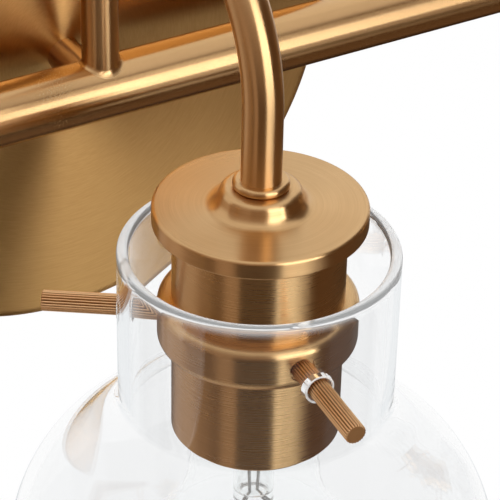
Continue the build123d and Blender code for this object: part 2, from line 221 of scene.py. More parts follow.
def makeLatheTree():
    tree, given = newTree("turnedPiece", [("Segments", "Int"), ("Ridges", "Float"), ("Ridge share", "Float")])
    count = addNode(tree, "GeometryNodeAttributeDomainSize", {0: given["Geometry"]}).outputs["Point Count"]
    columns = mathNode(tree, "ADD", given["Segments"], 1.0)
    grid = addNode(tree, "GeometryNodeMeshGrid", {
        "Size X": 1.0, "Size Y": 1.0, "Vertices X": columns, "Vertices Y": count})
    index = addNode(tree, "GeometryNodeInputIndex").outputs[0]
    row = mathNode(tree, "MODULO", index, count)
    column = mathNode(tree, "FLOOR", mathNode(tree, "DIVIDE", mathNode(tree, "ADD", index, 0.5), count))
    turn = mathNode(tree, "MULTIPLY", mathNode(tree, "DIVIDE", column, given["Segments"]), 2 * math.pi)
    place = addNode(tree, "GeometryNodeInputPosition").outputs[0]
    sample = addNode(tree, "GeometryNodeSampleIndex", {
        "Geometry": given["Geometry"], "Value": place, "Index": row}, data_type="FLOAT_VECTOR")
    parts = addNode(tree, "ShaderNodeSeparateXYZ", {0: sample.outputs[0]}).outputs
    halfRidges = mathNode(tree, "DIVIDE", given["Ridges"], 2.0)
    wave = mathNode(tree, "ABSOLUTE", mathNode(tree, "COSINE", mathNode(tree, "MULTIPLY", turn, halfRidges)))
    groove = mathNode(tree, "SUBTRACT", 1.0, wave)
    left = mathNode(tree, "SUBTRACT", 1.0, mathNode(tree, "MULTIPLY", groove, given["Ridge share"]))
    radius = mathNode(tree, "MULTIPLY", parts[0], left)
    spot = addNode(tree, "ShaderNodeCombineXYZ", {
        0: mathNode(tree, "MULTIPLY", radius, mathNode(tree, "COSINE", turn)),
        1: mathNode(tree, "MULTIPLY", radius, mathNode(tree, "SINE", turn)),
        2: parts[2]}).outputs[0]
    spun = addNode(tree, "GeometryNodeSetPosition", {"Geometry": grid.outputs["Mesh"], "Position": spot})
    marked = addNode(tree, "GeometryNodeStoreNamedAttribute", {
        "Geometry": spun.outputs[0], "Name": "groove", "Value": groove}, data_type="FLOAT", domain="POINT")
    closed = addNode(tree, "GeometryNodeMergeByDistance", {
        "Geometry": marked.outputs[0], "Distance": meshing["seam"]})
    endTree(tree, closed.outputs[0], given["Material"])
    return tree


# three round holes cut across a turned piece, one at each screw

drill = {"sides": 64, "labels": {letter: "Angle " + letter.upper() for letter in screwLetters}}


def makeDrillTree():
    sizes = ("Radius", "From", "To", "Height", *drill["labels"].values())
    tree, given = newTree("screwHoles", [(label, "Float") for label in sizes])
    length = mathNode(tree, "SUBTRACT", given["To"], given["From"])
    middle = mathNode(tree, "DIVIDE", mathNode(tree, "ADD", given["To"], given["From"]), 2.0)
    bit = addNode(tree, "GeometryNodeMeshCylinder", {
        "Vertices": drill["sides"], "Radius": given["Radius"], "Depth": length})
    spot = addNode(tree, "ShaderNodeCombineXYZ", {0: middle, 2: given["Height"]}).outputs[0]
    laid = addNode(tree, "GeometryNodeTransform", {
        "Geometry": bit.outputs["Mesh"], "Translation": spot, "Rotation": (0.0, math.pi / 2, 0.0)})
    bits = addNode(tree, "GeometryNodeJoinGeometry")
    for label in drill["labels"].values():
        turn = addNode(tree, "ShaderNodeCombineXYZ", {2: given[label]}).outputs[0]
        turned = addNode(tree, "GeometryNodeTransform", {"Geometry": laid.outputs[0], "Rotation": turn})
        tree.links.new(turned.outputs[0], bits.inputs[0])
    cut = addNode(tree, "GeometryNodeMeshBoolean", operation="DIFFERENCE", solver="EXACT")
    tree.links.new(given["Geometry"], cut.inputs["Mesh 1"])
    tree.links.new(bits.outputs[0], cut.inputs["Mesh 2"])
    endTree(tree, cut.outputs["Mesh"], given["Material"])
    return tree


# a round tube along a line

def makeTubeTree():
    tree, given = newTree("bentTube", [("Radius", "Float"), ("Sides", "Int")])
    ring = addNode(tree, "GeometryNodeCurvePrimitiveCircle", {
        "Resolution": given["Sides"], "Radius": given["Radius"]})
    line = addNode(tree, "GeometryNodeMeshToCurve", {"Mesh": given["Geometry"]})
    heading = addNode(tree, "GeometryNodeInputTangent").outputs[0]
    marked = addNode(tree, "GeometryNodeStoreNamedAttribute", {
        "Geometry": line.outputs[0], "Name": "heading", "Value": heading}, data_type="FLOAT_VECTOR", domain="POINT")
    tube = addNode(tree, "GeometryNodeCurveToMesh", {
        "Curve": marked.outputs[0], "Profile Curve": ring.outputs["Curve"], "Fill Caps": True})
    endTree(tree, tube.outputs[0], given["Material"])
    return tree


latheTree = makeLatheTree()
drillTree = makeDrillTree()
tubeTree = makeTubeTree()
print("node trees built")


# finishes

quarterTurn = 0.25
noiseRough = 0.55
grainDetail = 4.0
evenScale = (1.0, 1.0, 1.0)


def startMaterial(name):
    material = bpy.data.materials.new(name)
    material.use_nodes = True
    tree = material.node_tree
    return material, tree, tree.nodes["Principled BSDF"]


def endMaterial(tree, share, first, second):
    mix = addNode(tree, "ShaderNodeMixShader", {0: share, 1: first, 2: second})
    link(tree, mix.outputs[0], tree.nodes["Material Output"].inputs["Surface"])


def noiseAt(tree, vector, scale, detail):
    noise = addNode(tree, "ShaderNodeTexNoise", {
        "Vector": vector, "Scale": scale, "Detail": detail, "Roughness": noiseRough})
    return noise.outputs["Fac"]


def rangeOf(tree, value, low, high, fromLow=0.3, fromHigh=0.7):
    return addNode(tree, "ShaderNodeMapRange", {
        "Value": value, "From Min": fromLow, "From Max": fromHigh, "To Min": low, "To Max": high}).outputs[0]


def tintOf(tree, value, dark, light):
    mix = addNode(tree, "ShaderNodeMix", data_type="RGBA")
    tree.links.new(value, mix.inputs["Factor"])
    link(tree, dark, mix.inputs[6])
    link(tree, light, mix.inputs[7])
    return mix.outputs[2]


def ownPlace(tree):
    return addNode(tree, "ShaderNodeTexCoord").outputs["Object"]


def stretched(tree, scale):
    return addNode(tree, "ShaderNodeMapping", {"Vector": ownPlace(tree), "Scale": scale}).outputs[0]


def addBump(tree, shader, strength, depth, height):
    bump = addNode(tree, "ShaderNodeBump", {"Strength": strength, "Distance": depth, "Height": height})
    link(tree, bump.outputs[0], shader.inputs["Normal"])


# a ray off brushed metal is glossy, and one off glass is singular as well

def offMetal(tree, path):
    return mathNode(tree, "SUBTRACT", path["Is Glossy Ray"], path["Is Singular Ray"])


brassLook = {
    "dark": (0.61, 0.38, 0.175, 1.0),
    "light": (0.71, 0.46, 0.225, 1.0),
    "rough": (0.24, 0.34),
    "lineStretch": 0.012,   # how far a brush line runs against its width
    "lineScale": 5200.0,
    "lineDetail": 2.0,
    "lineDepth": 0.000012,
    "lineStrength": 0.24,
    "lineShare": 0.55,
    "patchScale": 38.0,
    "patchDetail": 3.0,
    "anisotropic": 0.9,
}
tubeLook = {**brassLook, "dark": (0.64, 0.405, 0.19, 1.0), "light": (0.69, 0.435, 0.21, 1.0),
            "rough": (0.22, 0.28), "lineStretch": 1.0, "lineScale": 3000.0, "lineStrength": 0.03}
capLook = {**brassLook, "rough": (0.26, 0.34), "lineStrength": 0.1, "anisotropic": 0.85}
armLook = {**tubeLook, "rough": (0.29, 0.35)}


# place from the nearest lamp's axis

def fromLamp(tree):
    first, second = (spotOf(f"socket_cup_{n}") for n in (1, 2))
    half = (second.x - first.x) / 2
    parts = addNode(tree, "ShaderNodeSeparateXYZ", {0: ownPlace(tree)}).outputs
    across = addNode(tree, "ShaderNodeMath", {0: parts[0], 1: half, 2: -half}, operation="WRAP").outputs[0]
    deep = mathNode(tree, "SUBTRACT", parts[1], second.y)
    return addNode(tree, "ShaderNodeCombineXYZ", {0: across, 1: deep}).outputs[0], parts[2]


# the radius and the height in full, the turn in a small share, for lines that run round a lamp

def roundLamp(tree, share):
    flat, height = fromLamp(tree)
    radius = vectorNode(tree, "LENGTH", {0: flat}, "Value")
    slow = vectorNode(tree, "SCALE", {0: flat, 3: share})
    fast = addNode(tree, "ShaderNodeCombineXYZ", {0: radius, 2: height}).outputs[0]
    return vectorNode(tree, "ADD", {0: slow, 1: fast})


def brushMetal(tree, shader, look, lines, patches):
    share = look["lineShare"]
    mixed = mathNode(tree, "ADD", mathNode(tree, "MULTIPLY", lines, share),
                     mathNode(tree, "MULTIPLY", patches, 1.0 - share))
    tint = tintOf(tree, rangeOf(tree, mixed, 0.0, 1.0), look["dark"], look["light"])
    link(tree, tint, shader.inputs["Base Color"])
    link(tree, rangeOf(tree, mixed, look["rough"][1], look["rough"][0]), shader.inputs["Roughness"])
    addBump(tree, shader, look["lineStrength"], look["lineDepth"], lines)
    shader.inputs["Metallic"].default_value = 1.0
    shader.inputs["Anisotropic"].default_value = look["anisotropic"]


# glints stretch across the lines of a turned piece

def acrossLines(tree, shader, axis):
    shader.inputs["Anisotropic Rotation"].default_value = quarterTurn
    tangent = addNode(tree, "ShaderNodeTangent", direction_type="RADIAL", axis=axis)
    link(tree, tangent.outputs[0], shader.inputs["Tangent"])


def brushedBrass(name, along, look, glint):
    material, tree, shader = startMaterial(name)
    short = look["lineStretch"]
    scale = tuple(1.0 if axis in along else short for axis in "XYZ")
    spot = roundLamp(tree, short) if along == "Z" else stretched(tree, scale)
    lines = noiseAt(tree, spot, look["lineScale"], look["lineDetail"])
    patches = noiseAt(tree, stretched(tree, evenScale), look["patchScale"], look["patchDetail"])
    brushMetal(tree, shader, look, lines, patches)
    if glint == "heading":  # glints stretch along a tube
        tangent = addNode(tree, "ShaderNodeAttribute", attribute_name="heading").outputs["Vector"]
        link(tree, tangent, shader.inputs["Tangent"])
    else:
        acrossLines(tree, shader, glint)
    return material


# the canopy's brass is set darker than the other brass, as painted shade
canopyLook = {
    "dark": (0.53, 0.30, 0.105, 1.0),
    "light": (0.63, 0.375, 0.145, 1.0),
    "rough": (0.31, 0.39),
    "lineScale": 2600.0,
    "lineDetail": 2.0,
    "lineDepth": 0.00002,
    "lineStrength": 0.08,
    "lineShare": 0.5,
    "turnShare": 0.004,   # how much a ring changes along its way round
    "patchScale": 26.0,
    "patchDetail": 4.0,
    "anisotropic": 0.97,
}


def spunBrass():
    material, tree, shader = startMaterial("spunBrass")
    place = ownPlace(tree)
    flat = vectorNode(tree, "MULTIPLY", {0: place, 1: (1.0, 0.0, 1.0)})
    radius = vectorNode(tree, "LENGTH", {0: flat}, "Value")
    unit = vectorNode(tree, "NORMALIZE", {0: flat})
    slow = vectorNode(tree, "SCALE", {0: unit, 3: canopyLook["turnShare"]})
    deep = addNode(tree, "ShaderNodeCombineXYZ", {1: radius}).outputs[0]
    polar = vectorNode(tree, "ADD", {0: slow, 1: deep})
    rings = noiseAt(tree, polar, canopyLook["lineScale"], canopyLook["lineDetail"])
    patches = noiseAt(tree, place, canopyLook["patchScale"], canopyLook["patchDetail"])
    brushMetal(tree, shader, canopyLook, rings, patches)
    acrossLines(tree, shader, "Y")
    return material


glassLook = {"driftStretch": (1.0, 1.0, 0.45), "driftScale": 34.0, "driftDetail": 2.0, "driftTint": 0.012,
             "waveDepth": 0.0004, "through": (0.97, 0.98, 0.98, 1.0)}
# painted highlight on the shade's rim: a white diffuse share near its top
shadeRimHighlight = {"top": boxes["glass_shade_2"][1].z, "depth": 0.0024, "share": 0.35, "colour": (0.97, 0.98, 0.98, 1.0)}


def clearGlass(name, tint, ior, wave, rim=None):
    material, tree, shader = startMaterial(name)
    place = stretched(tree, glassLook["driftStretch"])
    drift = noiseAt(tree, place, glassLook["driftScale"], glassLook["driftDetail"])
    pale = tuple(min(1.0, c + glassLook["driftTint"]) for c in tint[:3]) + (1.0,)
    link(tree, tintOf(tree, rangeOf(tree, drift, 0.0, 1.0), tint, pale), shader.inputs["Base Color"])
    addBump(tree, shader, wave, glassLook["waveDepth"], drift)
    shader.inputs["Roughness"].default_value = 0.0
    shader.inputs["IOR"].default_value = ior
    shader.inputs["Transmission Weight"].default_value = 1.0
    surface = shader.outputs[0]
    if rim:  # painted highlight: the top of the rim is part white diffuse, standing in for the light on a clear glass edge
        height = addNode(tree, "ShaderNodeSeparateXYZ", {0: ownPlace(tree)}).outputs[2]
        bottom = rim["top"] - rim["depth"]
        share = rangeOf(tree, height, 0.0, rim["share"], bottom, bottom + rim["depth"] / 2)
        paintedRimHighlight = addNode(tree, "ShaderNodeBsdfDiffuse", {"Color": rim["colour"]})
        surface = addNode(tree, "ShaderNodeMixShader", {0: share, 1: surface, 2: paintedRimHighlight.outputs[0]}).outputs[0]
    path = addNode(tree, "ShaderNodeLightPath").outputs
    # metal mirrors the studio past the glass
    straight = mathNode(tree, "MAXIMUM", path["Is Shadow Ray"], offMetal(tree, path))
    through = addNode(tree, "ShaderNodeBsdfTransparent", {"Color": glassLook["through"]})
    endMaterial(tree, straight, surface, through.outputs[0])
    return material


def plainFinish(name, dark, light, rough, metallic=0.0, scale=900.0, strength=0.15, depth=0.00004):
    material, tree, shader = startMaterial(name)
    grain = noiseAt(tree, stretched(tree, evenScale), scale, grainDetail)
    tint = tintOf(tree, rangeOf(tree, grain, 0.0, 1.0), (*dark, 1.0), (*light, 1.0))
    link(tree, tint, shader.inputs["Base Color"])
    link(tree, rangeOf(tree, grain, rough[0], rough[1]), shader.inputs["Roughness"])
    addBump(tree, shader, strength, depth, grain)
    shader.inputs["Metallic"].default_value = metallic
    return material


# the screws' brass is lighter than the other brass, partly their own brass and partly painted light; painted shade
# darkens the knurl's grooves towards dark brown, and the end face, picked by facing outward, is darker as well

screwLook = {"dark": (0.86, 0.55, 0.29), "light": (0.93, 0.62, 0.34), "rough": (0.34, 0.44), "scale": 2600.0,
             "strength": 0.05, "deep": (0.30, 0.15, 0.06, 1.0), "grooveShadeShare": 0.75, "groove": (0.25, 0.75),
             "end": (0.8, 0.9)}


def knurledBrass():
    material = plainFinish("screwBrass", screwLook["dark"], screwLook["light"], screwLook["rough"], 1.0,
                           screwLook["scale"], screwLook["strength"])
    tree = material.node_tree
    base = tree.nodes["Principled BSDF"].inputs["Base Color"]
    groove = addNode(tree, "ShaderNodeAttribute", attribute_name="groove").outputs["Fac"]
    grooveShade = rangeOf(tree, groove, 0.0, screwLook["grooveShadeShare"], *screwLook["groove"])
    flat, _ = fromLamp(tree)
    outward = vectorNode(tree, "NORMALIZE", {0: flat})
    normal = addNode(tree, "ShaderNodeNewGeometry").outputs["True Normal"]
    facing = vectorNode(tree, "DOT_PRODUCT", {0: normal, 1: outward}, "Value")
    atEnd = rangeOf(tree, facing, 0.0, 1.0, *screwLook["end"])
    # painted shade in the grooves, then the darker end face
    for share in (grooveShade, atEnd):
        link(tree, tintOf(tree, share, base.links[0].from_socket, screwLook["deep"]), base)
    return material


finish = {
    "cupBrass": brushedBrass("cupBrass", "Z", brassLook, "Z"),
    "capBrass": brushedBrass("capBrass", "Z", capLook, "Z"),
    "barBrass": brushedBrass("barBrass", "X", tubeLook, "heading"),
    "armBrass": brushedBrass("armBrass", "XY", armLook, "heading"),
    "endBrass": brushedBrass("endBrass", "X", tubeLook, "X"),
    "spunBrass": spunBrass(),
    "screwBrass": knurledBrass(),
    "shadeGlass": clearGlass("shadeGlass", (0.944, 0.948, 0.95, 1.0), 1.5, 0.03, shadeRimHighlight),
    "bulbGlass": clearGlass("bulbGlass", (0.975, 0.98, 0.98, 1.0), 1.48, 0.02),
    "stemGlass": clearGlass("stemGlass", (0.94, 0.95, 0.95, 1.0), 1.5, 0.05),
    "supportWire": plainFinish("supportWire", (0.30, 0.29, 0.28), (0.52, 0.50, 0.47), (0.25, 0.4), 1.0),
    "grommet": plainFinish("grommet", (0.86, 0.87, 0.86), (0.94, 0.94, 0.93), (0.6, 0.75), 0.0, 500.0, 0.1,
                           0.00005),
    "zincSteel": plainFinish("zincSteel", (0.42, 0.43, 0.44), (0.62, 0.63, 0.63), (0.28, 0.45), 1.0, 260.0),
    "greenScrew": plainFinish("greenScrew", (0.03, 0.20, 0.06), (0.06, 0.32, 0.10), (0.3, 0.45), 0.6),
    "socketMoulding": plainFinish("socketMoulding", (0.78, 0.77, 0.73), (0.86, 0.85, 0.82), (0.25, 0.4)),
    "socketMetal": plainFinish("socketMetal", (0.56, 0.40, 0.17), (0.70, 0.54, 0.27), (0.2, 0.35), 1.0),
    "bulbBase": plainFinish("bulbBase", (0.60, 0.60, 0.58), (0.76, 0.76, 0.74), (0.22, 0.36), 1.0),
    "leadSleeve": plainFinish("leadSleeve", (0.035, 0.035, 0.035), (0.07, 0.07, 0.07), (0.4, 0.6)),
}
print("finishes made:", len(finish))


def turned(name, outline, material, segments, matrix=None, ridges=0.0, share=0.0):
    source = lineMesh([(p.x, 0.0, p.y) for p in outline])
    values = {"Segments": segments, "Ridges": ridges, "Ridge share": share}
    return runTree(latheTree, source, name, values, finish[material], matrix)


def tube(name, line, radius, material, sides):
    return runTree(tubeTree, lineMesh(line), name, {"Radius": radius, "Sides": sides}, finish[material])


def drilled(piece, number, radius, start, end, material):
    name = piece.name
    mesh = piece.data
    bpy.data.objects.remove(piece)
    values = {"Radius": radius, "From": start, "To": end, "Height": screwHeight(number)}
    for letter, label in drill["labels"].items():
        values[label] = screwAngle(number, letter)
    return runTree(drillTree, mesh, name, values, finish[material])


# canopy, post and bar

canopy = {"wall": 0.0012, "edge": 0.0035, "steps": 10, "segments": 220}


def makeCanopy():
    low, high = boxes["canopy"]
    radius = halfWidth("canopy")
    depth = high.y - low.y
    wall = canopy["wall"]
    hole = halfWidth("post")
    outline = rounded([
        (hole, depth, 0), (radius, depth, canopy["edge"]), (radius, 0.0, 0), (radius - wall, 0.0, 0),
        (radius - wall, depth - wall, canopy["edge"] - wall), (hole, depth - wall, 0)], canopy["steps"])
    standing = Matrix.Rotation(math.pi / 2, 4, "X")
    piece = turned("canopyPan", outline, "spunBrass", canopy["segments"], standing)
    settle(piece, "fixture", "brushed_brass", "canopy")


bar = {"sides": 128, "endRound": 0.003, "endSteps": 10}


def barLine(x):
    low, high = boxes["bar_tube"]
    return Vector((x, (low.y + high.y) / 2, (low.z + high.z) / 2))


def makeBar():
    ends = [corner.x for corner in boxes["bar_tube"]]
    radius = halfHeight("bar_tube")
    piece = tube("barTube", [barLine(x) for x in ends], radius, "barBrass", bar["sides"])
    settle(piece, "fixture", "satin_brass", "bar_tube")
    for k, side in enumerate(("left", "right")):
        node = "bar_end_cap_" + side
        inner, outer = abs(ends[k]), abs(boxes[node][k].x)
        outline = rounded([
            (0.0, inner, 0), (radius, inner, 0), (radius, outer, bar["endRound"]), (0.0, outer, 0)],
            bar["endSteps"], close=False)
        outward = Matrix.Rotation((2 * k - 1) * math.pi / 2, 4, "Y")
        cap = turned("barEnd_" + side, outline, "endBrass", bar["sides"],
                     Matrix.Translation((0, barLine(0).y, 0)) @ outward)
        settle(cap, "fixture", "satin_brass", node)


post = {"sides": 80}


def makePost():
    low, high = boxes["post"]
    line = [Vector((0, high.y, 0)), Vector((0, low.y, 0))]
    piece = tube("postTube", line, halfWidth("post"), "armBrass", post["sides"])
    settle(piece, "fixture", "satin_brass", "post")


# a small weld fillet where an arm stands on the bar

weld = {"size": 0.0011, "steps": 6, "around": 72}


def makeWeld(name, tubeRadius, standing):
    barRadius = halfHeight("bar_tube")
    size = weld["size"]
    count = weld["around"]
    turns = [math.pi / 2 * k / weld["steps"] for k in range(weld["steps"] + 1)]
    rows = [(tubeRadius + size - size * math.cos(t), size - size * math.sin(t)) for t in turns]
    verts = []
    for radius, lift in rows:
        for step in range(count):
            turn = 2 * math.pi * step / count
            along = radius * math.cos(turn)
            across = radius * math.sin(turn)
            verts.append((along, across, math.sqrt(barRadius ** 2 - across ** 2) + lift))
    faces = []
    for start in range(0, count * weld["steps"], count):
        for step in range(count):
            ahead = (step + 1) % count
            faces.append((start + step, start + ahead, start + count + ahead, start + count + step))
    mesh = bpy.data.meshes.new(name)
    mesh.from_pydata(verts, [], faces)
    for face in mesh.polygons:
        face.use_smooth = True
    mesh.transform(standing)
    settle(placeMesh(mesh, name, finish["capBrass"]), "fixture", "satin_brass")


# the gooseneck arm

arm = {"sides": 72, "bendSteps": 56, "straight": 0.001, "footZ": 0.006}


def makeArm(number):
    low, high = boxes[f"arm_{number}"]
    radius = halfWidth(f"arm_{number}")
    x = (low.x + high.x) / 2
    lampY = low.y + radius
    barY = high.y - radius
    reach = (barY - lampY) / 2
    spring = high.z - radius - reach
    bend = arc(((lampY + barY) / 2, spring), reach, math.pi, 0.0, arm["bendSteps"])
    line = [Vector((x, lampY, low.z)), Vector((x, lampY, spring - arm["straight"]))]
    line += [Vector((x, p.x, p.y)) for p in bend]
    line += [Vector((x, barY, spring - arm["straight"])), Vector((x, barY, arm["footZ"]))]
    piece = tube(f"gooseneck_{number}", line, radius, "armBrass", arm["sides"])
    settle(piece, "fixture", "satin_brass", f"arm_{number}")
    makeWeld(f"stemWeld_{number}", radius, Matrix.Translation(barLine(x)))


# lamp holder: ferrule, cap, cup and ring about one axis

holder = {
    "capWall": 0.0013, "capHeight": 0.0047, "capEdge": 0.0009, "capSegments": 192,
    "bossBase": 0.0112, "bossTop": 0.0097, "bossFoot": 0.0032, "bossShoulder": 0.0018,
    "ferruleBead": 0.001, "ferruleSegments": 128, "cupWall": 0.0009, "cupSteps": 4, "cupSegments": 160,
    "ringTop": 0.0024, "ringBottom": 0.0032, "ringSegments": 192, "steps": 9,
    "tubeGap": 0.0001, "seatRadius": 0.0033, "seatDepth": 0.0011, "seatClear": 0.004,
}


def makeHolder(number):
    axis = Matrix.Translation(lampAxis(number))
    armRadius = halfWidth(f"arm_{number}")
    bore = armRadius + holder["tubeGap"]
    steps = holder["steps"]

    low, high = boxes[f"holder_cap_{number}"]
    radius = halfWidth(f"holder_cap_{number}")
    wall = holder["capWall"]
    top = low.z + holder["capHeight"]
    roof = top - wall
    cap = turned(f"holderCap_{number}", rounded([
        (bore, roof, 0), (bore, high.z, 0), (holder["bossTop"], high.z, holder["bossShoulder"]),
        (holder["bossBase"], top, holder["bossFoot"]), (radius, top, holder["capEdge"]),
        (radius, low.z, wall / 3), (radius - wall, low.z, 0), (radius - wall, roof, 0)], steps),
        "capBrass", holder["capSegments"], axis)
    settle(cap, "fixture", "satin_brass", f"holder_cap_{number}")

    low, high = boxes[f"arm_ferrule_{number}"]
    lip = halfWidth(f"arm_ferrule_{number}")
    bead = holder["ferruleBead"]
    ferrule = turned(f"armFerrule_{number}", rounded([
        (armRadius, low.z, 0), (lip, low.z, bead), (lip, high.z, bead), (armRadius, high.z, 0)], steps),
        "capBrass", holder["ferruleSegments"], axis)
    settle(ferrule, "fixture", "satin_brass", f"arm_ferrule_{number}")

    low, high = boxes[f"socket_cup_{number}"]
    radius = halfWidth(f"socket_cup_{number}")
    wall = holder["cupWall"]
    cup = turned(f"socketCup_{number}", rounded([
        (bore, high.z, 0), (radius, high.z, 0), (radius, low.z, wall / 3), (radius - wall, low.z, 0),
        (radius - wall, high.z - wall, 0), (bore, high.z - wall, 0)], holder["cupSteps"]),
        "cupBrass", holder["cupSegments"], axis)
    settle(cup, "fixture", "satin_brass", f"socket_cup_{number}")

    low, high = boxes[f"shade_ring_{number}"]
    ringRadius = halfWidth(f"shade_ring_{number}")
    ring = turned(f"shadeRing_{number}", rounded([
        (radius, high.z, 0), (ringRadius, high.z, holder["ringTop"]), (ringRadius, low.z, holder["ringBottom"]),
        (radius, low.z, 0)], steps), "cupBrass", holder["ringSegments"])
    ring = drilled(ring, number, holder["seatRadius"], ringRadius - holder["seatDepth"],
                   ringRadius + holder["seatClear"], "cupBrass")
    ring.data.transform(axis)
    settle(ring, "fixture", "satin_brass", f"shade_ring_{number}")


# sizes of the glass, which the grommets share

shade = {"neck": 0.035, "wall": 0.003, "bell": 0.044, "bellZ": -0.099, "fillet": 0.020, "edge": 0.0013,
         "holeRadius": 0.00385, "neckRows": 22, "filletSteps": 22, "bellSteps": 48, "skirtRows": 14, "rimSteps": 10,
         "segments": 192}


# knurled thumbscrews and their grommets

screw = {"ridges": 22, "ridgeSegments": 10, "ridgeShare": 0.13, "chamfer": 0.0003, "round": 0.0002,
         "tipRound": 0.00012, "steps": 3, "thread": 0.0019, "seatGap": 0.0003}
grommet = {"bore": 0.0032, "body": 0.0038, "edge": 0.0002, "steps": 4, "segments": 72}


def radialMatrix(number, angle, height):
    return (Matrix.Translation(lampAxis(number) + Vector((0, 0, height))) @ Matrix.Rotation(angle, 4, "Z")
            @ Matrix.Rotation(math.pi / 2, 4, "Y"))


def makeScrews(number):
    root = halfWidth(f"shade_ring_{number}") - holder["seatDepth"] + screw["seatGap"]
    centre = lampAxis(number)
    chamfer = screw["chamfer"]
    thread = screw["thread"]
    for letter in screwLetters:
        node = f"thumbscrew_{number}{letter}"
        low, high = boxes[node]
        radius = halfHeight(node)
        angle = screwAngle(number, letter)
        outward = Vector((math.cos(angle), math.sin(angle), 0))
        points = [v.co for v in nodes[node].data.vertices]
        start = min(math.hypot(p.x - centre.x, p.y - centre.y) for p in points)
        tip = max((p - centre).dot(outward) for p in points)
        outline = rounded([
            (0.0, start, 0), (thread, start, 0), (thread, root, 0), (radius - chamfer, root, 0),
            (radius, root + chamfer, screw["round"]), (radius, tip - chamfer, screw["round"]),
            (radius - chamfer, tip, screw["tipRound"]), (0.0, tip, 0)], screw["steps"], close=False)
        piece = turned(f"knurledScrew_{number}{letter}", outline, "screwBrass",
                       screw["ridges"] * screw["ridgeSegments"],
                       radialMatrix(number, angle, (low.z + high.z) / 2), screw["ridges"], screw["ridgeShare"])
        settle(piece, node, "knurled_brass", node)


def makeGrommets():
    bore, body, edge = (grommet[k] for k in ("bore", "body", "edge"))
    outer = shade["neck"]
    inner = outer - shade["wall"]
    outline = rounded([
        (bore, inner, 0), (body, inner, edge), (body, outer, edge), (bore, outer, edge)], grommet["steps"])
    pieces = []
    for number in lampNumbers:
        for letter in screwLetters:
            standing = radialMatrix(number, screwAngle(number, letter), screwHeight(number))
            pieces.append(turned(f"grommet_{number}{letter}", outline, "grommet", grommet["segments"], standing))
    with bpy.context.temp_override(active_object=pieces[0], selected_editable_objects=pieces):
        bpy.ops.object.join()
    pieces[0].name = "shadeGrommets"
    settle(pieces[0], "fixture", "grommet", "shade_grommets")


# clear bell shade

def shadeFace(inset, low, high, widest):
    neck = shade["neck"] - inset
    side = widest - inset
    bell = shade["bell"] - inset
    bellZ = shade["bellZ"]
    fillet = shade["fillet"] + inset
    bellR = side - bell
    filletR = neck + fillet
    filletZ = bellZ + math.sqrt((bell + fillet) ** 2 - (filletR - bellR) ** 2)
    turn = math.atan2(filletZ - bellZ, filletR - bellR)
    top = high - shade["edge"]
    foot = low + shade["edge"]
    rows = shade["neckRows"]
    face = [Vector((neck, top + (filletZ - top) * k / rows)) for k in range(rows)]
    face += arc((filletR, filletZ), fillet, math.pi, math.pi + turn, shade["filletSteps"])
    face += arc((bellR, bellZ), bell, turn, 0.0, shade["bellSteps"])[1:]
    rows = shade["skirtRows"]
    face += [Vector((side, bellZ + (foot - bellZ) * k / rows)) for k in range(1, rows + 1)]
    return face


def halfRound(start, end, limit):
    middle = (start + end) / 2
    wide = (end - start) / 2
    rise = limit - middle.y
    turns = [math.pi * k / shade["rimSteps"] for k in range(1, shade["rimSteps"])]
    return [Vector((middle.x - wide.x * math.cos(t), middle.y + rise * math.sin(t))) for t in turns]


def makeShade(number):
    low, high = boxes[f"glass_shade_{number}"]
    widest = halfWidth(f"glass_shade_{number}")
    wall = shade["wall"]
    outer = shadeFace(0.0, low.z, high.z, widest)
    inner = shadeFace(wall, low.z, high.z, widest)
    outline = outer + halfRound(outer[-1], inner[-1], low.z)
    outline += inner[::-1] + halfRound(inner[0], outer[0], high.z)
    outline.append(outline[0].copy())
    piece = turned(f"bellShade_{number}", outline, "shadeGlass", shade["segments"])
    piece = drilled(piece, number, shade["holeRadius"], shade["neck"] - 2 * wall, shade["neck"] + wall, "shadeGlass")
    piece.data.transform(Matrix.Translation(lampAxis(number)))
    settle(piece, "fixture", "clear_glass", f"glass_shade_{number}")


# bulb: envelope and the mount inside it

bulb = {"wall": 0.001, "neck": 0.0165, "neckZ": -0.066, "shoulder": 0.005, "spigot": 0.012, "seatZ": -0.0518,
        "flareSteps": 26, "ballSteps": 48, "segments": 128}
mount = {"foot": 0.01095, "topZ": -0.0485, "flareLength": 0.006, "flareRound": 0.004, "tube": 0.0052,
         "wall": 0.0009, "length": 0.034, "steps": 8, "segments": 64, "wire": 0.0004, "gap": 0.0022,
         "pressShare": 0.5, "spread": 0.009, "supportLength": 0.018, "coil": 0.0006, "sides": 16}


def bulbFace(inset, low, high, widest):
    ballZ = low + widest
    neck = bulb["neck"]
    drop = bulb["neckZ"] - ballZ
    flareR = neck + (drop ** 2 + neck ** 2 - widest ** 2) / (2 * (widest - neck))
    turn = math.atan2(drop, flareR)
    face = [Vector((bulb["spigot"] - inset, high)), Vector((bulb["spigot"] - inset, bulb["seatZ"]))]
    face += [Vector((neck - inset, bulb["seatZ"] - bulb["shoulder"]))]
    face += arc((flareR, bulb["neckZ"]), flareR - neck + inset, math.pi, math.pi + turn, bulb["flareSteps"])
    face += arc((0.0, ballZ), widest - inset, turn, -math.pi / 2, bulb["ballSteps"])[1:]
    face[-1].x = 0.0
    return face


def makeBulb(number):
    low, high = boxes[f"bulb_glass_{number}"]
    widest = halfWidth(f"bulb_glass_{number}")
    outer = bulbFace(0.0, low.z, high.z, widest)
    inner = bulbFace(bulb["wall"], low.z, high.z, widest)
    piece = turned(f"bulbEnvelope_{number}", inner[::-1] + outer, "bulbGlass", bulb["segments"],
                   Matrix.Translation(lampAxis(number)))
    settle(piece, f"bulb_{number}", "bulb_glass", f"bulb_glass_{number}")


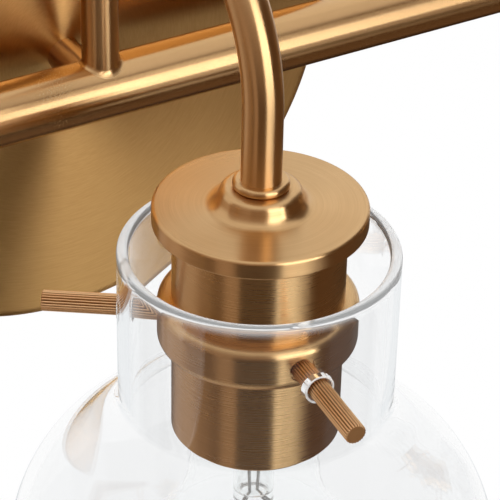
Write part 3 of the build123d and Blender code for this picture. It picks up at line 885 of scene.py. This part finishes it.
def makeMount(number):
    body = f"bulb_{number}"
    centre = lampAxis(number)
    top = mount["topZ"]
    low = top - mount["length"]
    knee = top - mount["flareLength"]
    flare = mount["flareRound"]
    foot = mount["foot"]
    radius = mount["tube"]
    wall = mount["wall"]
    stem = turned(f"bulbStem_{number}", rounded([
        (0.0, low, 0), (radius, low, radius / 2), (radius, knee, flare), (foot, top, 0), (foot - wall, top, 0),
        (radius - wall, knee, flare), (radius - wall, low + radius, radius / 3), (0.0, low + radius, 0)],
        mount["steps"], close=False), "stemGlass", mount["segments"], Matrix.Translation(centre))
    settle(stem, body, "bulb_mount", f"bulb_mount_{number}")
    tips = []
    for side, way in (("left", -1), ("right", 1)):
        start = centre + Vector((way * mount["gap"], 0, top))
        press = centre + Vector((way * mount["gap"] * mount["pressShare"], 0, low + radius))
        tips.append(centre + Vector((way * mount["spread"], 0, low - mount["supportLength"])))
        wire = tube(f"bulbSupport_{number}_{side}", [start, press, tips[-1]], mount["wire"], "supportWire",
                    mount["sides"])
        settle(wire, body, "bulb_mount")
    coil = tube(f"bulbFilament_{number}", tips, mount["coil"], "supportWire", mount["sides"])
    settle(coil, body, "bulb_mount")


# what stays as modelled, with its finish

kept = {"wall_strap": "zincSteel", "ground_screw": "greenScrew", "canopy_screws": "screwBrass",
        "holder_nuts": "zincSteel"}
keptPerLamp = {"socket_body": "socketMoulding", "socket_shell": "socketMetal", "socket_contact": "socketMetal",
               "bulb_base": "bulbBase", "lead_wires": "leadSleeve"}
for n in lampNumbers:
    kept.update({f"{node}_{n}": name for node, name in keptPerLamp.items()})
for node, name in kept.items():
    nodes[node].data.materials.clear()
    nodes[node].data.materials.append(finish[name])

makeCanopy()
makeBar()
makePost()
for n in lampNumbers:
    makeArm(n)
    makeHolder(n)
    makeScrews(n)
    makeShade(n)
    makeBulb(n)
    makeMount(n)
    print("lamp", n, "made")
makeGrommets()


# floor, light and camera

white = (1.0, 1.0, 1.0, 1.0)
studio = {"floorZ": -1.0, "floorSize": 9.0, "floorGrey": (0.9, 0.9, 0.9, 1.0), "floorRough": 0.9, "worldLight": 0.8}


def whiteForView(tree):
    path = addNode(tree, "ShaderNodeLightPath").outputs
    seen = mathNode(tree, "MAXIMUM", path["Is Camera Ray"], path["Is Glossy Ray"])
    return mathNode(tree, "MAXIMUM", seen, path["Is Transmission Ray"])


def makeFloor():
    half = studio["floorSize"] / 2
    corners = ((-half, -half), (half, -half), (half, half), (-half, half))
    mesh = bpy.data.meshes.new("floor")
    mesh.from_pydata([(*corner, studio["floorZ"]) for corner in corners], [], [(0, 1, 2, 3)])
    floor = bpy.data.objects.new("floor", mesh)
    bpy.context.scene.collection.objects.link(floor)
    material, tree, shader = startMaterial("floorPaper")
    shader.inputs["Base Color"].default_value = studio["floorGrey"]
    shader.inputs["Roughness"].default_value = studio["floorRough"]
    glow = addNode(tree, "ShaderNodeEmission", {"Color": white, "Strength": 1.0})
    endMaterial(tree, whiteForView(tree), shader.outputs[0], glow.outputs[0])
    mesh.materials.append(material)


def makeWorld():
    world = bpy.data.worlds.new("studio")
    bpy.context.scene.world = world
    world.use_nodes = True
    tree = world.node_tree
    strength = addNode(tree, "ShaderNodeMapRange", {
        "Value": whiteForView(tree), "To Min": studio["worldLight"], "To Max": 1.0}).outputs[0]
    link(tree, strength, tree.nodes["Background"].inputs["Strength"])
    tree.nodes["Background"].inputs["Color"].default_value = white


overhead = {"spot": (0.35, -0.30, 1.10), "size": (1.1, 0.9), "glow": 1.5, "aimZ": -0.03}  # glow against white


def makeLight():
    data = bpy.data.lights.new("overhead", "AREA")
    data.shape = "RECTANGLE"
    data.size, data.size_y = overhead["size"]
    data.energy = overhead["glow"] * math.pi * data.size * data.size_y
    light = bpy.data.objects.new("overhead", data)
    bpy.context.scene.collection.objects.link(light)
    spot = Vector(overhead["spot"])
    away = (spot - lampAxis(2) - Vector((0, 0, overhead["aimZ"]))).normalized()
    light.matrix_world = Matrix.Translation(spot) @ away.to_track_quat("Z", "Y").to_matrix().to_4x4()
    light.visible_camera = False
    light.visible_glossy = False


photo = {"yaw": -31.4, "pitch": 33.1, "roll": 1.29, "spot": (-0.2523, -0.5354, 0.3087), "focal": 2351.0,
         "width": 500.0, "sensor": 36.0, "clipStart": 0.01}


# a tent of paper round the lamp, which the metal mirrors, and the glass walls faintly where they face one slope:
# each sheet runs between two turns, in degrees to the right of the camera, and between two heights, as bright as
# it says against white; one whose heights are the same lies flat, and cover and near keep the floor off the canopy
tent = {
    "radius": 1.6, "underRadius": 0.45, "nearRadius": 0.66, "coverInner": 0.95, "steps": 12,
    "floor": -0.62, "under": -0.60, "cover": -0.60, "near": -0.60, "brim": -0.15, "shelf": 0.85, "top": 1.7,
    "innerShare": 0.8, "wallSlope": 0.59, "wallSpread": 0.04, "ahead": 55, "beside": 125,
    "glassAhead": 0.05, "glassBeside": 0.85, "glassTint": (0.95, 0.98, 1.0, 1.0), "darkTint": (1.0, 0.52, 0.24),
}
sheets = {
    "farLeft": (-140, -110, "floor", "brim", 0.55),
    "leftGrey": (-110, -85, "floor", "brim", 0.55),
    "farHigh": (-140, -85, "brim", "top", 0.85),
    "leftDim": (-85, -62, "floor", "brim", 0.34),
    "leftDark": (-62, -45, "floor", "brim", 0.18),
    "leftStrip": (-45, -25, "floor", "brim", 0.42),
    "leftHigh": (-85, -25, "brim", "top", 0.45),
    "middleDark": (-25, 24, "floor", "brim", 0.045),
    "middleHigh": (-25, 20, "brim", "top", 0.38),
    "lowBox": (24, 59, "floor", "brim", 1.25),
    "softBox": (20, 55, "brim", "top", 3.2),
    "barBox": (55, 62, "brim", "shelf", 5.4),
    "rightHigh": (55, 140, "shelf", "top", 0.12),
    "rightDark": (62, 140, "brim", "shelf", 0.12),
    "rightFloor": (59, 85, "floor", "brim", 0.15),
    "rightGrey": (85, 110, "floor", "brim", 0.14),
    "farFloor": (110, 140, "floor", "brim", 0.14),
    "backFloor": (140, 220, "floor", "floor", 0.05),
    "under": (-140, 35, "under", "under", 0.75),
    "cover": (49, 82, "cover", "cover", 0.09),
    "nearCover": (35, 82, "near", "near", 0.09),
    "ceiling": (-180, 180, "top", "top", 0.95),
}


def cardPaper(name, shade, turn):
    material, tree, _ = startMaterial(name)
    path = addNode(tree, "ShaderNodeLightPath").outputs
    rough = offMetal(tree, path)
    incoming = addNode(tree, "ShaderNodeNewGeometry").outputs["Incoming"]
    slope = addNode(tree, "ShaderNodeSeparateXYZ", {0: incoming}).outputs[2]
    level = addNode(tree, "ShaderNodeMath", {
        0: slope, 1: tent["wallSlope"], 2: tent["wallSpread"]}, operation="COMPARE").outputs[0]
    # one mirroring, off the glass wall's outer face or off its inner one
    once = mathNode(tree, "COMPARE", path["Glossy Depth"], 1.0)
    outer = mathNode(tree, "LESS_THAN", path["Transmission Depth"], 0.5)
    inner = mathNode(tree, "COMPARE", path["Transmission Depth"], 2.0)
    face = mathNode(tree, "MAXIMUM", outer, mathNode(tree, "MULTIPLY", inner, tent["innerShare"]))
    glass = mathNode(tree, "MULTIPLY", mathNode(tree, "MULTIPLY", once, level), face)
    shown = mathNode(tree, "MAXIMUM", rough, glass)
    aside = min(1.0, max(0.0, (abs(turn) - tent["ahead"]) / (tent["beside"] - tent["ahead"])))
    inGlass = tent["glassAhead"] + (tent["glassBeside"] - tent["glassAhead"]) * aside
    glow = addNode(tree, "ShaderNodeMapRange", {"Value": rough, "To Min": inGlass, "To Max": shade}).outputs[0]
    pale = min(1.0, shade)
    warm = tuple(c + (1.0 - c) * pale for c in tent["darkTint"]) + (1.0,)  # dark paper is warm, but not in glass
    tint = tintOf(tree, rough, tent["glassTint"], warm)
    paper = addNode(tree, "ShaderNodeEmission", {"Color": tint, "Strength": glow})
    clear = addNode(tree, "ShaderNodeBsdfTransparent")
    endMaterial(tree, shown, clear.outputs[0], paper.outputs[0])
    return material


def makeTent():
    facing = math.radians(photo["yaw"] - 90)
    middle = lampAxis(2)
    steps = tent["steps"]
    row = steps + 1
    for name, (start, end, low, high, shade) in sheets.items():
        turns = [facing + math.radians(start + (end - start) * k / steps) for k in range(row)]
        radius = tent.get(low + "Radius", tent["radius"])
        rim = [middle + Vector((math.cos(t), math.sin(t), 0)) * radius for t in turns]
        verts = [(p.x, p.y, tent[height]) for height in (low, high) for p in rim]
        faces = [(k, k + 1, k + 1 + row, k + row) for k in range(steps)] if low != high else []
        if low == "cover":
            verts += [(*middle.lerp(p, tent["coverInner"] / radius).xy, tent[low]) for p in rim]
            faces = [(k, k + 1, k + 1 + 2 * row, k + 2 * row) for k in range(steps)]
        elif low in ("floor", "under", "near", "top"):
            verts.append((middle.x, middle.y, tent[low]))
            faces += [(k, k + 1, 2 * row) for k in range(steps)]
        mesh = bpy.data.meshes.new(name)
        mesh.from_pydata(verts, [], faces)
        mesh.materials.append(cardPaper(name, shade, (start + end) / 2))
        piece = bpy.data.objects.new(name, mesh)
        bpy.context.scene.collection.objects.link(piece)
        piece.visible_camera = False
        piece.visible_diffuse = False
        piece.visible_shadow = False


def makeCamera():
    yaw, pitch, roll = (math.radians(photo[k]) for k in ("yaw", "pitch", "roll"))
    back = Vector((math.sin(yaw) * math.cos(pitch), -math.cos(yaw) * math.cos(pitch), math.sin(pitch)))
    right = Vector((math.cos(yaw), math.sin(yaw), 0.0))
    up = back.cross(right)
    across = math.cos(roll) * right + math.sin(roll) * up
    rise = math.cos(roll) * up - math.sin(roll) * right
    data = bpy.data.cameras.new("photoCamera")
    data.sensor_width = photo["sensor"]
    data.lens = photo["focal"] / photo["width"] * photo["sensor"]
    data.clip_start = photo["clipStart"]
    camera = bpy.data.objects.new("photoCamera", data)
    bpy.context.scene.collection.objects.link(camera)
    turn = Matrix((across, rise, back)).transposed().to_4x4()
    camera.matrix_world = Matrix.Translation(photo["spot"]) @ turn
    bpy.context.scene.camera = camera


makeFloor()
makeWorld()
makeLight()
makeTent()
makeCamera()
bpy.context.scene.view_settings.view_transform = "Standard"
# light runs far inside the edges of clear glass
bounces = {"max": 32, "glossy": 24, "transmission": 24, "transparent_max": 24}
for kind, count in bounces.items():
    setattr(bpy.context.scene.cycles, kind + "_bounces", count)
print("studio set")
